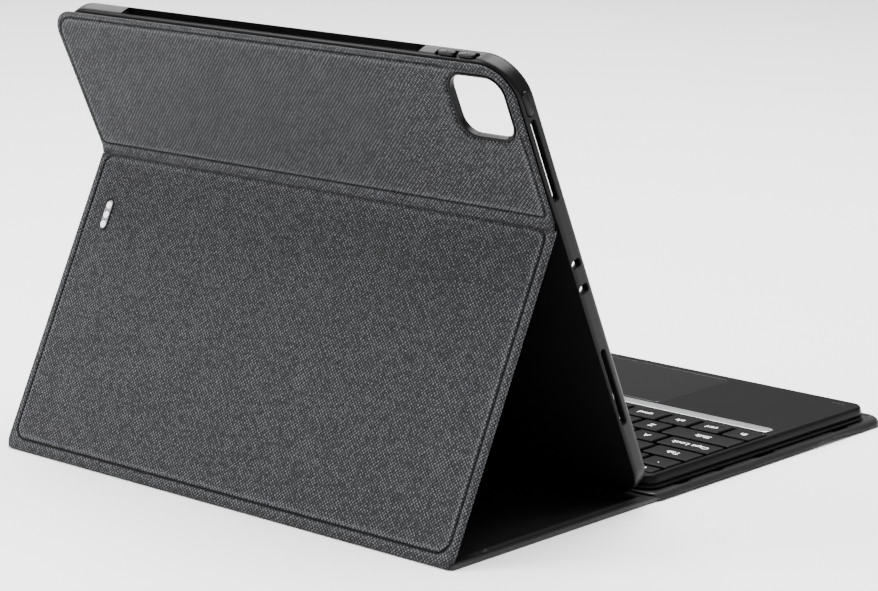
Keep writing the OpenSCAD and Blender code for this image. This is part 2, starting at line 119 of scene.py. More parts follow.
def side_at(side, v, w):
    """(a, b, c) -> up the tray, through its thickness, to the right, from a side wall."""
    to_tray = tray_at()
    return lambda a, b, c: to_tray(side * CASE_W / 2 + c, v + a, w + b)


def top_at(x, w):
    """(a, b, c) -> right, through the tray's thickness, down into its top wall."""
    to_tray = tray_at()
    return lambda a, b, c: to_tray(x + a, TRAY_TOP - c, w + b)


# ---------------------------------------------------------------- meshes


def outline(size, radii, step=None, arc=7):
    """Anticlockwise rounded rectangle with its middle at 0.

    radii are for the corners (+,+), (-,+), (-,-), (+,-). Each corner is an arc of arc + 1
    points; a straight side is cut into pieces no longer than step.
    """
    radii = (radii,) * 4 if np.isscalar(radii) else radii
    half = np.array(size, float) / 2
    signs = np.array([(1, 1), (-1, 1), (-1, -1), (1, -1)])
    loops = []
    for k, (sign, r) in enumerate(zip(signs, radii)):
        turn = np.radians(90) * (k + np.linspace(0, 1, arc + 1))
        middle = sign * (half - r)
        loops.append(middle + r * np.stack([np.cos(turn), np.sin(turn)], -1))
    points = []
    for k in range(4):
        points.append(loops[k])
        a, b = loops[k][-1], loops[(k + 1) % 4][0]
        cuts = max(1, int(np.hypot(*(b - a)) / step)) if step else 1
        points.append(a + (b - a) * np.linspace(0, 1, cuts + 1)[1:-1, None])
    return np.concatenate(points)


def make_object(name, points, faces, uv=None, smooth=35):
    """Mesh object from points in metres; edges sharper than smooth degrees stay sharp."""
    mesh = bpy.data.meshes.new(name)
    mesh.from_pydata(points, [], faces)
    if uv is not None:
        layer = mesh.uv_layers.new(name="cloth")
        corner = np.empty(len(mesh.loops), np.int32)
        mesh.loops.foreach_get("vertex_index", corner)
        layer.data.foreach_set("uv", uv[corner].astype(np.float32).ravel())
    mesh.polygons.foreach_set("use_smooth", np.ones(len(mesh.polygons), bool))
    mesh.set_sharp_from_angle(angle=math.radians(smooth))
    mesh.validate()
    obj = bpy.data.objects.new(name.replace(" ", "_"), mesh)
    scene.collection.objects.link(obj)
    return obj


def slab_mesh(size, radii, levels, place, step=None, arc=7, lift=None):
    """Points and faces of a closed solid.

    levels are (inset, height) pairs, from its lower cap to its upper cap; each is a rounded
    rectangle pulled in by its inset. lift(points, height) may change the heights.
    """
    radii = (radii,) * 4 if np.isscalar(radii) else radii
    if step:
        # Places of the added points, counted in corner points of the outermost ring
        corners = outline(size, radii, None, arc)
        where = np.interp(along(outline(size, radii, step, arc)), along(corners),
                          np.arange(len(corners)))
        low = where.astype(int)
    rings = []
    for inset, height in levels:
        ring = outline((size[0] - 2 * inset, size[1] - 2 * inset),
                       tuple(max(r - inset, SQUARE) for r in radii), None, arc)
        if step:
            closed = np.vstack([ring, ring[:1]])
            ring = closed[low] + (closed[low + 1] - closed[low]) * (where - low)[:, None]
        z = np.full(len(ring), float(height))
        if lift is not None:
            z = lift(ring, z)
        rings.append(place(ring[:, 0], ring[:, 1], z))
    n = len(rings[0])
    faces = [tuple(range(n))[::-1]]
    i = np.arange(n)
    for k in range(len(rings) - 1):
        under, over = k * n, (k + 1) * n
        faces += np.stack([under + i, under + (i + 1) % n, over + (i + 1) % n, over + i],
                          -1).tolist()
    faces.append(tuple(range((len(rings) - 1) * n, len(rings) * n)))
    return np.concatenate(rings), faces


def along(points):
    """Distance of each point of a line from its first point: the sum of the steps before it."""
    steps = np.hypot(*np.diff(points, axis=0).T)
    return np.concatenate([[0], np.cumsum(steps)])


def slab(name, *args, **kwargs):
    """One slab_mesh as an object."""
    return make_object(name, *slab_mesh(*args, **kwargs))


def join_meshes(name, parts, smooth=35):
    """One object from several (points, faces) pairs."""
    points, faces, start = [], [], 0
    for p, f in parts:
        points.append(p)
        faces += [tuple(start + i for i in face) for face in f]
        start += len(p)
    return make_object(name, np.concatenate(points), faces, smooth=smooth)


def cut(obj, cutters, smooth=35):
    """Takes closed (points, faces) solids away from obj, one exact boolean for all of them."""
    tool = join_meshes("cutter", cutters)
    step = obj.modifiers.new("cut", "BOOLEAN")
    step.operation, step.solver, step.object = "DIFFERENCE", "EXACT", tool
    step.use_self = True
    result = bpy.data.meshes.new_from_object(
        obj.evaluated_get(bpy.context.evaluated_depsgraph_get()))
    obj.modifiers.clear()
    old, obj.data = obj.data, result
    bpy.data.meshes.remove(old)
    bpy.data.objects.remove(tool)
    result.polygons.foreach_set("use_smooth", np.ones(len(result.polygons), bool))
    result.set_sharp_from_angle(angle=math.radians(smooth))
    return obj


def stadium_radii(width):
    """Corner radius that makes a slot of this width round at its ends."""
    return width / 2 - 0.001


# ---------------------------------------------------------------- cloth


def box_distance(x, y, middle, size, radii):
    """Signed distance inwards from a rounded rectangle, and its inward direction.

    Quilez's rounded box: q = |p - middle| - half + r, distance = r - |max(q, 0)| -
    min(max(q), 0), with r picked by the corner that the point is nearest to.
    """
    px, py = x - middle[0], y - middle[1]
    radii = (radii,) * 4 if np.isscalar(radii) else radii
    r = np.where(py > 0, np.where(px > 0, radii[0], radii[1]),
                 np.where(px > 0, radii[3], radii[2]))
    qx = np.abs(px) - size[0] / 2 + r
    qy = np.abs(py) - size[1] / 2 + r
    outer = np.hypot(np.maximum(qx, 0), np.maximum(qy, 0))
    distance = r - outer - np.minimum(np.maximum(qx, qy), 0)
    round_part = outer > 1e-9
    gx = np.where(round_part, np.maximum(qx, 0) / np.maximum(outer, 1e-9), qx > qy)
    gy = np.where(round_part, np.maximum(qy, 0) / np.maximum(outer, 1e-9), qx <= qy)
    return distance, -gx * np.sign(px), -gy * np.sign(py)


def bump_at(value, middle, width):
    """exp(-((value - middle) / width)^2)"""
    return np.exp(-((value - middle) / width) ** 2)


HEM_OVER = 1.6             # cloth beyond the panel's outline, turned round its edge
HEM_STEPS = (0, 0.35, 0.7, 1.0, 1.25, 1.5, 1.75, 2.0, 2.3, 2.7, 3.2, 3.9)
PRESSED = 0.42             # depth of a groove that gets the full painted shade
PUFFED = -0.35             # lightest value of the attribute "pressed": the strongest painted highlight


def hem(p, depth, r):
    """(inset, depth) of cloth that turns round an edge.

    p counts from the cloth's free edge. Up to HEM_OVER + r it follows the side, depth - r long,
    then a quarter circle of radius r; beyond that it lies flat.
    """
    total = depth - r + math.pi * r / 2
    run = np.clip(p / (HEM_OVER + r), 0, 1) * total
    turn = np.clip((run - (depth - r)) / r, 0, math.pi / 2)
    inset = np.where(p > HEM_OVER + r, p - HEM_OVER, r - r * np.cos(turn))
    down = np.where(run < depth - r, depth - run, r - r * np.sin(turn))
    return inset, down


def cloth(name, size, radii, middle, points, hem_depth, hem_r, relief, place, thick=0.4,
          hole=None, marks=None):
    """Sheet of cloth or leather over a panel, triangulated in its own flat pattern.

    The pattern is the panel's rounded outline plus HEM_OVER. relief(x, y) is the extra depth of
    each place. place(x, y, w) puts pattern points in the row frame, and w goes into the panel.
    marks(x, y), or else relief, divided by PRESSED is the attribute "pressed", kept
    between PUFFED and 1; it is negative where the cloth puffs up. The woven cloth turns it into
    painted shade in its grooves and seams and a painted highlight on the puffed rims.
    """
    over = (size[0] + 2 * HEM_OVER, size[1] + 2 * HEM_OVER)
    wide = tuple(r + HEM_OVER for r in ((radii,) * 4 if np.isscalar(radii) else radii))
    middle = np.array(middle, float)
    rings = [middle + outline((over[0] - 2 * p, over[1] - 2 * p),
                              tuple(max(r - p, SQUARE) for r in wide), 2.5, 12) for p in HEM_STEPS]
    inside = np.concatenate(points)
    p, _, _ = box_distance(inside[:, 0], inside[:, 1], middle, over, wide)
    inside = inside[p > HEM_STEPS[-1] + 0.3]
    pattern = np.concatenate(rings + [inside])
    if hole is not None:
        gap = -box_distance(pattern[:, 0], pattern[:, 1], *hole)[0]
        pattern = pattern[gap > 0.12]
        pattern = np.concatenate([pattern, np.array(hole[0]) + outline(hole[1], hole[2], 0.8, 12)])
    pattern, _, faces, _, _, _ = delaunay_2d_cdt(
        [Vector(q) for q in pattern.tolist()], [], [], 0, 1e-5)
    pattern = np.array([tuple(q) for q in pattern])
    faces = np.array(faces)
    mid = pattern[faces].mean(1)
    keep = box_distance(mid[:, 0], mid[:, 1], middle, over, wide)[0] > 1e-4
    if hole is not None:
        keep &= box_distance(mid[:, 0], mid[:, 1], *hole)[0] < -1e-4
    faces = faces[keep]
    x, y = pattern.T
    p, gx, gy = box_distance(x, y, middle, over, wide)
    inset, down = hem(p, hem_depth(x, y) if callable(hem_depth) else hem_depth, hem_r)
    shift = inset + HEM_OVER - p
    x1, y1 = x + gx * shift, y + gy * shift
    fade = np.clip((p - HEM_OVER) / 2, 0, 1)
    world = place(x1, y1, down + relief(x1, y1) * fade)
    obj = make_object(name, world, faces[:, ::-1].tolist(), uv=pattern * MM, smooth=180)
    # Point attribute for the painted shade in grooves and the painted highlight on puffed rims
    pressed = obj.data.attributes.new("pressed", "FLOAT", "POINT")
    depth = (marks or relief)(x1, y1) * fade
    pressed.data.foreach_set("value", np.clip(depth / PRESSED, PUFFED, 1).astype(np.float32))
    thicken = obj.modifiers.new("thickness", "SOLIDIFY")
    thicken.thickness, thicken.offset = thick * MM, -1
    return obj


def ring_points(middle, size, radii, offsets, step=1.6, arc=10):
    """Rings of points at the given distances inside a rounded rectangle."""
    return [np.array(middle) + outline((size[0] - 2 * d, size[1] - 2 * d),
                                       tuple(max(r - d, 0.3) for r in radii), step, arc)
            for d in offsets]


def grid_points(x0, x1, y0, y1, dx, dy=None):
    """Regular grid of points; every other row is moved by half a step."""
    dy = dy or dx
    y = np.arange(y0, y1 + 1e-6, dy)
    x = np.arange(x0, x1 + 1e-6, dx)
    gx, gy = np.meshgrid(x, y)
    gx = gx + (np.arange(len(y)) % 2)[:, None] * dx / 2
    return np.stack([gx.ravel(), gy.ravel()], -1)


def away_from(points, middle, size, radii, near, far):
    """Drops points whose distance inside a rounded rectangle is between near and far."""
    d = box_distance(points[:, 0], points[:, 1], middle, size, radii)[0]
    return points[(d < near) | (d > far)]


# ---------------------------------------------------------------- materials


def linear(hex_colour):
    """sRGB hex to linear: ((c + 0.055) / 1.055)^2.4, or c / 12.92 below 0.04045."""
    c = np.array([int(hex_colour[i:i + 2], 16) for i in (1, 3, 5)]) / 255
    return tuple(np.where(c > 0.04045, ((c + 0.055) / 1.055) ** 2.4, c / 12.92)) + (1.0,)


class Shader:
    """A material's node tree, with one call to add a node and link its inputs."""

    def __init__(self, name):
        self.material = bpy.data.materials.new(name)
        self.material.use_nodes = True
        self.nodes = self.material.node_tree.nodes
        self.link = self.material.node_tree.links.new
        self.surface = self.nodes["Principled BSDF"]

    def put(self, node, name, value):
        """Links a socket to a node's input, or sets the input to a plain value."""
        if isinstance(value, bpy.types.NodeSocket):
            self.link(value, node.inputs[name])
        else:
            node.inputs[name].default_value = value

    def add(self, kind, inputs=(), out=0, **settings):
        """Adds a node with its settings and inputs, and gives one of its outputs."""
        node = self.nodes.new("ShaderNode" + kind)
        for key, value in settings.items():
            setattr(node, key, value)
        for name, value in dict(inputs).items():
            self.put(node, name, value)
        return node.outputs[out]

    def math(self, operation, a, b=0.0):
        """One Math node."""
        return self.add("Math", {0: a, 1: b}, operation=operation)

    def set(self, **inputs):
        """Fills the surface shader's inputs; an underscore stands for a space."""
        for name, value in inputs.items():
            self.put(self.surface, name.replace("_", " "), value)
        return self


def colour_mix(shader, factor, a, b):
    """Colour a where factor is 0 and colour b where it is 1."""
    return shader.add("Mix", {0: factor, 6: a, 7: b}, out=2, data_type="RGBA")


def ranged(shader, value, low, high):
    """low + value (high - low), for a value from 0 to 1."""
    return shader.add("MapRange", {"Value": value, "To Min": low, "To Max": high})


def grained(name, colour, rough, grain_mm, depth_mm, spread=0.06, shine=0.5):
    """Moulded or leather-like surface: noise of one real size in its colour and its bump.

    Wide patches, about 45 mm across, vary its colour and its roughness a little as well.
    """
    s = Shader(name)
    place = s.add("TexCoord", out=3)
    grain = s.add("TexNoise", {"Vector": place, "Scale": 1000 / grain_mm, "Detail": 3.0})
    patches = s.add("TexNoise", {"Vector": place, "Scale": 22.0, "Detail": 2.0})
    base = np.array(linear(colour))
    tone = s.math("ADD", s.math("MULTIPLY", grain, 0.5), s.math("MULTIPLY", patches, 0.5))
    low, high = base * (1 - spread * 2), base * (1 + spread * 2)
    low[3] = high[3] = 1
    s.set(Base_Color=colour_mix(s, tone, tuple(low), tuple(high)), Specular_IOR_Level=shine,
          Roughness=ranged(s, patches, rough - 0.05, rough + 0.05),
          Normal=s.add("Bump", {"Height": grain, "Strength": 0.6, "Distance": depth_mm * MM}))
    return s.material


def plain(name, colour, rough, metallic=0.0):
    """Surface of one even colour and gloss."""
    return Shader(name).set(Base_Color=linear(colour), Roughness=rough,
                            Metallic=metallic).material


def woven(name, light, dark, pitch_mm):
    """Plain weave of charcoal yarns, from the cloth's own pattern coordinates.

    With U, V in threads: warp = |sin(pi U)|, weft = |sin(pi V)|; the checker parity of the
    cell says which of the two lies on top. The height is the upper one's 0.7th power times
    0.4 + 0.6 of the other. Noise moves the threads by up to about one of them.
    """
    s = Shader(name)
    uv = s.add("UVMap", uv_map="cloth")
    wander = s.add("TexNoise", {"Vector": uv, "Scale": 350.0, "Detail": 1.0}, out=1)
    moved = s.add("VectorMath", {0: wander, 1: (0.0011 * pitch_mm,) * 3}, operation="MULTIPLY")
    place = s.add("VectorMath", {0: uv, 1: moved}, operation="ADD")
    threads = s.add("VectorMath", {0: place, 1: (1000 / pitch_mm,) * 3}, operation="MULTIPLY")
    split = s.add("SeparateXYZ", {0: threads}).node
    warp = s.math("ABSOLUTE", s.math("SINE", s.math("MULTIPLY", split.outputs[0], math.pi)))
    weft = s.math("ABSOLUTE", s.math("SINE", s.math("MULTIPLY", split.outputs[1], math.pi)))
    parity = s.add("TexChecker", {"Vector": threads, "Scale": 1.0}, out=1)
    first = s.math("MULTIPLY", s.math("POWER", warp, 0.7), ranged(s, weft, 0.4, 1.0))
    second = s.math("MULTIPLY", s.math("POWER", weft, 0.7), ranged(s, warp, 0.4, 1.0))
    height = s.add("Mix", {0: parity, 2: second, 3: first})
    cell = s.add("VectorMath", {0: threads, 1: (1.0, 1.0, 1.0)}, operation="FLOOR")
    chance = s.add("TexWhiteNoise", {"Vector": cell}, noise_dimensions="3D")
    cloud = s.add("TexNoise", {"Vector": uv, "Scale": 60.0, "Detail": 3.0})
    # The warp is light and the weft is dark, and yarns differ a little from cell to cell
    tone = s.math("MULTIPLY", height, ranged(s, parity, 0.14, 0.95))
    tone = s.math("MULTIPLY", tone, ranged(s, chance, 0.4, 1.4))
    tone = s.math("MULTIPLY", tone, ranged(s, cloud, 0.8, 1.2))
    pressed = s.add("Attribute", attribute_name="pressed", out=2)
    # Painted shade darkens the pressed groove lines and seams, and a painted highlight lightens
    # the raised rims: the tone times 10^(-value)
    tone = s.math("MULTIPLY", tone, s.math("POWER", 10.0, s.math("MULTIPLY", pressed, -1.0)))
    s.set(Base_Color=colour_mix(s, tone, linear(dark), linear(light)), Roughness=0.8,
          Specular_IOR_Level=0.15, Sheen_Weight=0.03, Sheen_Roughness=0.5,
          Normal=s.add("Bump", {"Height": height, "Strength": 0.9, "Distance": 0.22 * MM}))
    return s.material


def brushed(name, colour, rough, stretch):
    """Metal with fine brush marks along x."""
    s = Shader(name)
    place = s.add("Mapping", {"Vector": s.add("TexCoord", out=3), "Scale": stretch})
    marks = s.add("TexNoise", {"Vector": place, "Scale": 1500.0, "Detail": 3.0})
    s.set(Base_Color=linear(colour), Metallic=1.0,
          Roughness=ranged(s, marks, rough - 0.06, rough + 0.1),
          Normal=s.add("Bump", {"Height": marks, "Strength": 0.3, "Distance": 0.02 * MM}))
    return s.material


PAINT = {
    # Charcoal plain-weave polyester on the covers
    "twill_fabric": woven("charcoal woven polyester", "#5a5b5e", "#020202", 0.95),
    # Pressed fibreboard inside the panels
    "board": grained("dark fibreboard", "#2a2622", 0.85, 0.4, 0.05),
    # Smooth microfibre-backed inner sheet
    "lining": grained("smooth black inner sheet", "#141415", 0.36, 0.35, 0.006, shine=0.25),
    # Plain bright steel of magnets, screws and plates
    "steel": plain("plain steel", "#b4b6ba", 0.35, metallic=1.0),
    # Satin moulded polyurethane of the tray
    "soft_plastic": grained("satin black polyurethane", "#0a0a0b", 0.36, 0.22, 0.012, shine=0.13),
    # Satin black plastic round the camera window
    "gloss_black": grained("satin black plastic", "#060607", 0.4, 0.2, 0.005, shine=0.12),
    # Bright satin contact plate
    "bright_plate": plain("bright satin metal", "#6a6b6e", 0.4, metallic=1.0),
    # Smooth synthetic leather of the keyboard's flap
    "flap_leather": grained("black synthetic leather", "#141415", 0.4, 0.5, 0.012, shine=0.25),
    # Fine matte moulded ABS of the keyboard body
    "deck_plastic": grained("matte charcoal ABS", "#090909", 0.42, 0.25, 0.012, shine=0.06),
    # Brushed bright strip
    "silver_trim": brushed("brushed aluminium strip", "#d5d6d8", 0.3, (0.04, 1.0, 1.0)),
    # Dark anodised bezel
    "dark_metal": plain("dark anodised aluminium", "#5c5d60", 0.32, metallic=1.0),
    # Silicone membrane and domes
    "silicone": plain("translucent silicone", "#c9cfc4", 0.5),
    # Solder mask
    "circuit_board": plain("green solder mask", "#1f5a34", 0.3),
    # Flat polyimide cable
    "ribbon": plain("amber polyimide", "#a06a1e", 0.35),
    # Battery pouch
    "battery_foil": plain("aluminised pouch", "#9fa3a8", 0.3, metallic=0.8),
    # Clear light pipe
    "light_pipe": plain("clear light pipe", "#161617", 0.2),
    # Smooth semi-gloss trackpad surface
    "trackpad_glass": grained("semi-gloss trackpad", "#080808", 0.36, 0.3, 0.004, shine=0.08),
    # Matte key caps
    "key_plastic": grained("matte key cap ABS", "#050505", 0.34, 0.3, 0.01, shine=0.07),
}
# White printing on the key caps
INK = plain("white key printing", "#ffffff", 0.6)
# White enamel of the three contact cells
CELL = plain("white enamel", "#ffffff", 0.3)


def paint(obj, slot):
    """Gives a piece the one material of its slot."""
    obj.data.materials.clear()
    obj.data.materials.append(PAINT[slot])
    return obj


def finish_piece(obj, slot, body, *nodes):
    """Paints a piece, lets it ride on a body and stand for its CAD nodes."""
    paint(obj, slot)
    if body:
        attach(obj, body)
    if nodes:
        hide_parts(*nodes)
    return obj


# ---------------------------------------------------------------- outer cloth

FOLD_R = 1.5               # radius of the cloth round the rear fold
FOLD_TURN = math.pi - STAND_ANGLE
FOLD_HALF = FOLD_R * FOLD_TURN / 2
FOLD_REACH = FOLD_R / math.tan(STAND_ANGLE / 2)


def round_rear_fold(x, t, w):
    """Pattern of the lower cloth to its place on the stand and the base.

    t > 0 runs up the stand panel and t < 0 forwards under the base. For |t| < FOLD_HALF the
    cloth is an arc of radius FOLD_R, touching both planes FOLD_REACH from their common line.
    Its ends are drawn in by 1.8 exp(-(t / 2.6)^2) mm.
    """
    x = x - np.sign(x) * 1.8 * bump_at(t, 0, 2.6) * np.clip((np.abs(x) - 134) / 10, 0, 1)
    s = FOLD_REACH + t - FOLD_HALF
    up = stand_at()(x, s, w)
    under = base_at(0, 0)(x, -(FOLD_REACH - t - FOLD_HALF), w)
    middle = np.array([FOLD_Y - FOLD_REACH, FOLD_R])
    turn = np.clip(t / FOLD_R, -FOLD_TURN / 2, FOLD_TURN / 2) + FOLD_TURN / 2 - math.pi / 2
    arc = np.stack([x, middle[0] + (FOLD_R - w) * np.cos(turn),
                    middle[1] + (FOLD_R - w) * np.sin(turn)], -1) * MM
    return np.where((t > FOLD_HALF)[:, None], up, np.where((t < -FOLD_HALF)[:, None], under, arc))


def stitched(distance, depth=0.6, width=0.55, puff=0.3):
    """Pressed groove line with the cloth puffed up on both sides.

    depth exp(-(d / width)^2), less puff exp(-((d - 1.45) / 0.75)^2) inside the line and
    0.4 puff exp(-((d + 1.6) / 0.9)^2) outside it.
    """
    return (depth * bump_at(distance, 0, width) - puff * bump_at(distance, 1.45, 0.75)
            - puff * 0.4 * bump_at(distance, -1.6, 0.9))


def spot(place, b):
    """The point of a frame b along its second direction."""
    return place(np.zeros(1), np.array([b]), np.zeros(1))[0]


STAND_SEAM = STAND_LEN - 1.7
lower_low, lower_high = -COVER_LEN + 0.3, STAND_SEAM - FOLD_REACH + FOLD_HALF
lower_size = (CASE_W, lower_high - lower_low)
lower_middle = (0.0, (lower_low + lower_high) / 2)
groove_low = 5.6
groove_size = (CASE_W - 8, lower_high - groove_low - 0.5)
groove_radii = (5.0, 5.0, 7.0, 7.0)
groove_middle = (0.0, groove_low + groove_size[1] / 2)


def lower_relief(x, t):
    """The stand panel's groove line, and the cloth sinking 0.45 mm into the seam at its top."""
    d = box_distance(x, t, groove_middle, groove_size, groove_radii)[0]
    top = lower_high - t
    return np.where(t > 1.5, stitched(d), 0) + 0.45 * bump_at(top, 0, 0.5) * (t > 10)


def lower_hem(x, t):
    """The hem is as deep as the stand panel, and stays low under the base."""
    return 0.55 + 1.15 * np.clip((t - 1) / 5, 0, 1)


groove_rings = np.concatenate(ring_points(
    groove_middle, groove_size, groove_radii,
    (-1.2, -0.8, -0.5, -0.3, -0.12, 0.06, 0.25, 0.45, 0.8, 1.3, 1.9, 2.6, 3.6, 5), 2.0))
groove_rings = groove_rings[groove_rings[:, 1] < lower_high - 2]
fold_lines = np.concatenate([
    np.stack([np.arange(-141, 141.1, 3.0), np.full(95, t)], -1)
    for t in (-4, -2.5, -1.5, -0.9, -0.6, -0.3, 0.0, 0.3, 0.6, 0.9, 1.5, 2.5, 3.6)])
field = away_from(grid_points(-139, 139, -244, lower_high - 3, 6.0), groove_middle, groove_size,
                  groove_radii, -2.4, 6.5)
field = field[(field[:, 1] > 14) | (field[:, 1] < -6)]
lower_cloth = cloth(
    "outer cloth of cover and stand", lower_size, (0.6, 0.6, 10.0, 10.0), lower_middle,
    [groove_rings, fold_lines, field], lower_hem, 0.45, lower_relief, round_rear_fold)
finish_piece(lower_cloth, "twill_fabric", None, "cover_fabric", "stand_fabric")
spot(base_at(0, 0), -4.0)
spot(stand_at(), 4.0)
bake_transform(lower_cloth)

VALLEY_R = 3.0             # radius of the cloth in the valley of the top fold
VALLEY_TURN = math.pi - STAND_ANGLE - TRAY_ANGLE
VALLEY_REACH = VALLEY_R * math.tan(VALLEY_TURN / 2)
VALLEY_HALF = VALLEY_R * VALLEY_TURN / 2


def round_top_fold(x, t, w):
    """Pattern of the upper cloth: t < 0 lies on the stand panel, t > 0 on the tray.

    Between them the cloth turns through the valley on an arc of radius VALLEY_R outside it.
    """
    low = stand_at()(x, STAND_LEN - VALLEY_REACH + t + VALLEY_HALF, w)
    high = tray_at()(x, VALLEY_REACH + t - VALLEY_HALF, w)
    out = np.array([math.sin(STAND_ANGLE), math.cos(STAND_ANGLE)])
    up = np.array([-math.cos(STAND_ANGLE), math.sin(STAND_ANGLE)])
    middle = np.array(TOP_FOLD) - up * VALLEY_REACH + out * VALLEY_R
    turn = np.clip((t + VALLEY_HALF) / VALLEY_R, 0, VALLEY_TURN)
    arc_yz = (middle - np.outer(np.cos(turn) * (VALLEY_R + w), out)
              + np.outer(np.sin(turn) * (VALLEY_R + w), up))
    arc = np.stack([x, arc_yz[:, 0], arc_yz[:, 1]], -1) * MM
    return np.where((t > VALLEY_HALF)[:, None], high,
                    np.where((t < -VALLEY_HALF)[:, None], low, arc))


upper_low = -(STAND_LEN - STAND_SEAM) + 0.25
upper_high = UPPER_TOP - VALLEY_REACH + VALLEY_HALF
upper_size = (2 * UPPER_HALF + 1.8, upper_high - upper_low)
upper_middle = (0.9, (upper_high + upper_low) / 2)    # it reaches 1.8 mm further at its right
rim_low, rim_inset = 4.0, 2.6
rim_size = (upper_size[0] - 2 * rim_inset, upper_high - rim_inset - rim_low)
rim_middle = (0.9, rim_low + rim_size[1] / 2)
rim_radii = (11.0, 15.0, 2.5, 2.5)
window_size = (WINDOW_SIZE + 2.6, WINDOW_SIZE + 2.6)
window = (WINDOW, window_size, WINDOW_R + 1.2)


def upper_marks(x, t):
    """The groove line inside the rim, fading beside the window, and the seam at the fold."""
    d = box_distance(x, t, rim_middle, rim_size, rim_radii)[0]
    near = np.exp(-(np.maximum(-box_distance(x, t, *window)[0], 0) / 4.5) ** 2)
    return (np.where(t > 1.0, stitched(d, depth=0.5, width=0.48), 0) * (1 - 0.8 * near)
            + 0.35 * bump_at(t - upper_low, 0, 0.4))


def upper_relief(x, t):
    """The marks, and the soft raised lip round the camera window."""
    gap = -box_distance(x, t, *window)[0]
    lip = np.exp(-(np.maximum(gap, 0) / 4.5) ** 2) * np.clip(gap / 1.8, 0, 1) ** 0.5
    return upper_marks(x, t) - 0.75 * lip + 0.9 * bump_at(gap, 0, 0.75)


rim_rings = np.concatenate(ring_points(
    rim_middle, rim_size, rim_radii,
    (-0.7, -0.45, -0.28, -0.12, 0.06, 0.25, 0.45, 0.8, 1.3, 1.9, 2.6, 3.6, 5), 2.0, 16))
inside_window = (WINDOW, (54.0, 54.0), 18.0)
rim_rings = rim_rings[box_distance(rim_rings[:, 0], rim_rings[:, 1], *inside_window)[0] < 0]
near_window = grid_points(-152, -92, 24, 88, 0.5)
near_window = near_window[box_distance(*near_window.T, *inside_window)[0] > 0.4]
valley_lines = np.concatenate([
    np.stack([np.arange(-139.5, 139.6, 3.0), np.full(94, t)], -1)
    for t in (-1.0, -0.7, -0.35, 0.0, 0.35, 0.7, 1.05, 1.5, 2.1, 2.8)])
field = away_from(grid_points(-138, 138, 12, upper_high - 4, 5.0), rim_middle, rim_size, rim_radii,
                  -99, 6.3)
field = field[box_distance(*field.T, *inside_window)[0] < -1]
upper_cloth = cloth(
    "outer cloth of upper panel", upper_size, (13.0, 17.0, 0.5, 0.5), upper_middle,
    [rim_rings, near_window, valley_lines, field], 1.3, 0.7, upper_relief, round_top_fold,
    hole=window, marks=upper_marks)
finish_piece(upper_cloth, "twill_fabric", None, "upper_fabric")
spot(stand_at(), STAND_LEN - 1.6)
spot(tray_at(), 2.6)
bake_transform(upper_cloth)

# ---------------------------------------------------------------- inner sheets

LINING_F0 = 2.0


def lining_relief(x, y):
    """Raised bead 3.5 mm inside the sides, and the crease beside the spine."""
    f = -y
    side = CASE_W / 2 - 0.2 - np.abs(x)
    bead = -1.1 * bump_at(side, 3.5, 1.4) * np.clip((f - 12) / 10, 0, 1) * np.clip(
        (FLAP_REAR - f) / 6, 0, 1)
    crease = 0.35 * bump_at(f, 23.5, 1.3) - 0.1 * bump_at(f, 20, 2) - 0.1 * bump_at(f, 27, 2)
    return bead + crease


lining_size = (CASE_W, COVER_LEN - 0.4 - LINING_F0)
lining_middle = (0.0, -(COVER_LEN - 0.4 + LINING_F0) / 2)
side_x = np.concatenate([s * (CASE_W / 2 - np.array([2.8, 3.2, 3.6, 4.0, 4.6, 5.4, 6.4]))
                         for s in (-1, 1)])
side_points = np.stack(np.meshgrid(side_x, np.arange(-246, -3, 2.5)), -1).reshape(-1, 2)
crease_points = np.stack(np.meshgrid(
    np.arange(-136, 137, 4.0), -np.array([17, 19, 20.5, 21.7, 22.6, 23.2, 23.8, 24.4, 25.3, 26.5,
                                          28, 30])), -1).reshape(-1, 2)
field = grid_points(-135, 135, -244, -5, 6.0)
field = field[(field[:, 1] > -15) | (field[:, 1] < -32)]
cover_lining = cloth(
    "inner sheet of the cover", lining_size, (0.6, 0.6, 9.6, 9.6), lining_middle,
    [side_points, crease_points, field], 2.35, 0.7, lining_relief,
    lambda x, y, w: base_at(0, 0)(x, y, COVER_TOP - w))
cover_lining.data.flip_normals()
finish_piece(cover_lining, "lining", "base", "cover_lining")

# ---------------------------------------------------------------- tray

BACK = 2.0                 # the moulding starts under the upper cloth and its board
tray_middle = TRAY_TOP - TRAY_H / 2
tray = slab("moulded tray", (CASE_W, TRAY_H), (TRAY_R + 4, TRAY_R, FOOT_R, FOOT_R), [
    (2.4, BACK), (1.5, 2.06), (0.75, 2.35), (0.25, 2.9), (0.04, 3.6), (0, 4.4), (0, 7.4),
    (0.05, 8.6), (0.25, 9.5), (0.6, 10.05), (1.0, 10.3), (1.5, TRAY_T)],
    tray_at(0, tray_middle), arc=14)


def wall_slot(place, length, width, inward, deep=6.0, lip=0.55, mouth=0.5):
    """Slot cutter that goes deep under a wall's face and widens to a soft mouth.

    The wall's face is at height 0; inward is the sign of the heights that go into the wall.
    """
    z = [(0, deep), (0, lip), (-mouth * 0.35, lip * 0.45), (-mouth, -0.04), (-mouth, -3)]
    levels = [(i, inward * h) for i, h in z]
    if inward > 0:
        levels = levels[::-1]
    return slab_mesh((length, width), stadium_radii(min(length, width)), levels, place)


